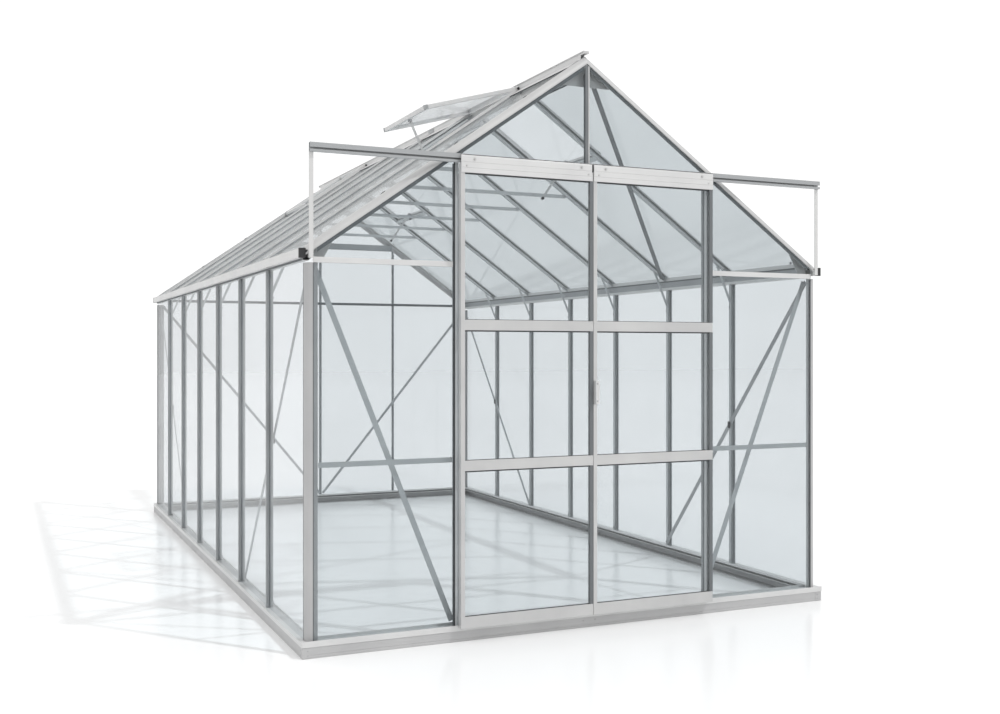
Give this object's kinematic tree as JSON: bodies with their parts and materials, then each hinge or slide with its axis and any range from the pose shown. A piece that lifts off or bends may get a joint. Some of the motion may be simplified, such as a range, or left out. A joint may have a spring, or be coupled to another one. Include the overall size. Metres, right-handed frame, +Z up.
{
  "type": "walk-in greenhouse",
  "caption": "Aluminium walk-in greenhouse with clear panes, a gable roof with hinged vents, and a pair of sliding doors hung from an overhead track.",
  "frame": {"origin": "middle of the bounding box's underside, on the ground under the base rails", "axes": "+Z up, +Y along the ridge from the door gable to the rear gable, +X to the right seen from the doors"},
  "size_m": [2.624, 4.528, 2.57],
  "materials": {
    "bright_aluminium": "satin, outer profiles",
    "mill_aluminium": "mill, inner bars",
    "base_aluminium": "satin, base rails",
    "clear_glass": "clear horticultural glass",
    "black_plastic": "moulded"
  },
  "bodies": {
    "house": {"base_front": "base_aluminium", "base_right": "base_aluminium", "base_rear": "base_aluminium", "base_left": "base_aluminium", "sill_front": "bright_aluminium", "sill_right": "bright_aluminium", "sill_rear": "bright_aluminium", "sill_left": "bright_aluminium", "corner_post_front_left": "bright_aluminium", "corner_post_front_right": "bright_aluminium", "corner_post_rear_left": "bright_aluminium", "corner_post_rear_right": "bright_aluminium", "portal_frame_1": "mill_aluminium", "portal_frame_2": "mill_aluminium", "portal_frame_3": "mill_aluminium", "portal_frame_4": "mill_aluminium", "portal_frame_5": "mill_aluminium", "portal_frame_6": "mill_aluminium", "eave_gutter_left": "bright_aluminium", "eave_gutter_right": "bright_aluminium", "ridge": "bright_aluminium", "gable_arch_front": "bright_aluminium", "gable_arch_rear": "bright_aluminium", "front_eave_bar_left": "bright_aluminium", "front_eave_bar_right": "bright_aluminium", "door_jamb_left": "mill_aluminium", "door_jamb_right": "mill_aluminium", "door_header": "mill_aluminium", "king_post": "mill_aluminium", "rear_post_left": "mill_aluminium", "rear_post_centre": "mill_aluminium", "rear_post_right": "mill_aluminium", "rear_eave_bar": "mill_aluminium", "rear_cross_bar": "mill_aluminium", "door_track": "mill_aluminium", "glazing_front": "clear_glass", "glazing_rear": "clear_glass", "glazing_left": "clear_glass", "glazing_right": "clear_glass", "roof_glazing_left": "clear_glass", "roof_glazing_right": "clear_glass"},
    "door_left": {"door_frame_left": "bright_aluminium", "door_hanger_left": "bright_aluminium", "door_glass_left": "clear_glass"},
    "roller_left_inner": {"door_roller_left_inner": "black_plastic"},
    "roller_left_outer": {"door_roller_left_outer": "black_plastic"},
    "door_right": {"door_frame_right": "bright_aluminium", "door_hanger_right": "bright_aluminium", "door_glass_right": "clear_glass", "door_handle": "bright_aluminium"},
    "roller_right_inner": {"door_roller_right_inner": "black_plastic"},
    "roller_right_outer": {"door_roller_right_outer": "black_plastic"},
    "vent_left_front": {"vent_left_front": "bright_aluminium"},
    "stay_left_front": {"vent_stay_left_front": "mill_aluminium"},
    "vent_left_rear": {"vent_left_rear": "bright_aluminium"},
    "stay_left_rear": {"vent_stay_left_rear": "mill_aluminium"},
    "vent_right_front": {"vent_right_front": "bright_aluminium"},
    "stay_right_front": {"vent_stay_right_front": "mill_aluminium"},
    "vent_right_rear": {"vent_right_rear": "bright_aluminium"},
    "stay_right_rear": {"vent_stay_right_rear": "mill_aluminium"}
  },
  "joints": [
    {"name": "slide_door_left", "type": "slide", "parent": "house", "child": "door_left", "axis": [-1, 0, 0], "range_m": [0, 0.6]},
    {"name": "slide_door_right", "type": "slide", "parent": "house", "child": "door_right", "axis": [1, 0, 0], "range_m": [0, 0.6]},
    {"name": "spin_roller_left_inner", "type": "hinge", "parent": "door_left", "child": "roller_left_inner", "pos_m": [-0.061, -2.218, 2.0347], "axis": [0, 1, 0], "continuous": true},
    {"name": "spin_roller_left_outer", "type": "hinge", "parent": "door_left", "child": "roller_left_outer", "pos_m": [-0.573, -2.218, 2.0347], "axis": [0, 1, 0], "continuous": true},
    {"name": "spin_roller_right_inner", "type": "hinge", "parent": "door_right", "child": "roller_right_inner", "pos_m": [0.061, -2.218, 2.0347], "axis": [0, 1, 0], "continuous": true},
    {"name": "spin_roller_right_outer", "type": "hinge", "parent": "door_right", "child": "roller_right_outer", "pos_m": [0.573, -2.218, 2.0347], "axis": [0, 1, 0], "continuous": true},
    {"name": "vent_hinge_left_front", "type": "hinge", "parent": "house", "child": "vent_left_front", "pos_m": [-0.01859, -1.211, 2.53675], "axis": [0, 1, 0], "range_deg": [-19.5, 8.5]},
    {"name": "stay_pivot_left_front", "type": "hinge", "parent": "vent_left_front", "child": "stay_left_front", "pos_m": [-0.48558, -1.211, 2.40205], "axis": [0, 1, 0], "range_deg": [-4.25, 9.75]},
    {"name": "vent_hinge_left_rear", "type": "hinge", "parent": "house", "child": "vent_left_rear", "pos_m": [-0.01859, 1.269, 2.53675], "axis": [0, 1, 0], "range_deg": [0, 28]},
    {"name": "stay_pivot_left_rear", "type": "hinge", "parent": "vent_left_rear", "child": "stay_left_rear", "pos_m": [-0.41383, 1.269, 2.2539], "axis": [0, 1, 0], "range_deg": [-14, 0]},
    {"name": "vent_hinge_right_front", "type": "hinge", "parent": "house", "child": "vent_right_front", "pos_m": [0.01859, -1.211, 2.53675], "axis": [0, -1, 0], "range_deg": [0, 28]},
    {"name": "stay_pivot_right_front", "type": "hinge", "parent": "vent_right_front", "child": "stay_right_front", "pos_m": [0.41383, -1.211, 2.2539], "axis": [0, -1, 0], "range_deg": [-14, 0]},
    {"name": "vent_hinge_right_rear", "type": "hinge", "parent": "house", "child": "vent_right_rear", "pos_m": [0.01859, 1.269, 2.53675], "axis": [0, -1, 0], "range_deg": [0, 28]},
    {"name": "stay_pivot_right_rear", "type": "hinge", "parent": "vent_right_rear", "child": "stay_right_rear", "pos_m": [0.41383, 1.269, 2.2539], "axis": [0, -1, 0], "range_deg": [-14, 0]}
  ],
  "couplings": [
    {"joint": "stay_pivot_left_front", "follows": "vent_hinge_left_front", "ratio": -0.5},
    {"joint": "stay_pivot_left_rear", "follows": "vent_hinge_left_rear", "ratio": -0.5},
    {"joint": "stay_pivot_right_front", "follows": "vent_hinge_right_front", "ratio": -0.5},
    {"joint": "stay_pivot_right_rear", "follows": "vent_hinge_right_rear", "ratio": -0.5}
  ]
}
